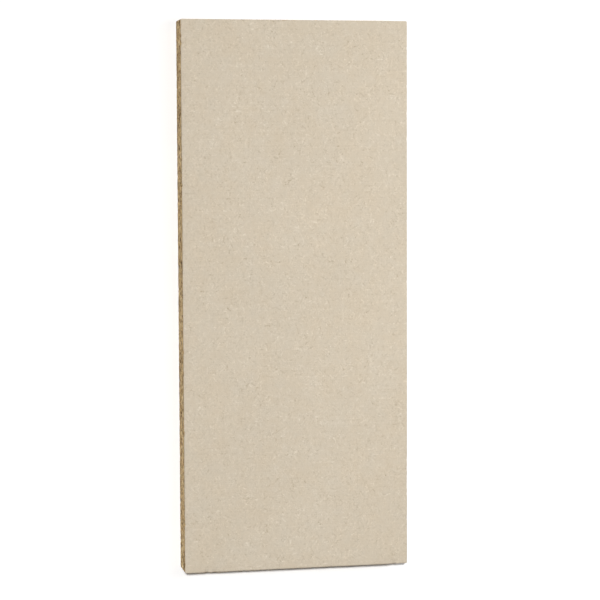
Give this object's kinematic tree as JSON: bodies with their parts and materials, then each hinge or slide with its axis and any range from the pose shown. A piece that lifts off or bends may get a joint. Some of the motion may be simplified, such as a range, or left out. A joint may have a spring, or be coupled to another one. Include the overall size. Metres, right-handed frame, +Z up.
{
  "type": "chipboard sheet",
  "caption": "Flat rectangular sheet of raw chipboard, with fine sanded broad faces, square sawn edges that show the coarser core, and lightly eased arrises.",
  "frame": {"origin": "centre of the lower broad face, which is the face that the sheet lies on", "axes": "+X across the width, +Y along the length, +Z up through the thickness"},
  "size_m": [0.127, 0.305, 0.018],
  "materials": {
    "chipboard": "matte"
  },
  "bodies": {
    "root": {"chipboard_sheet": "chipboard"}
  },
  "joints": []
}
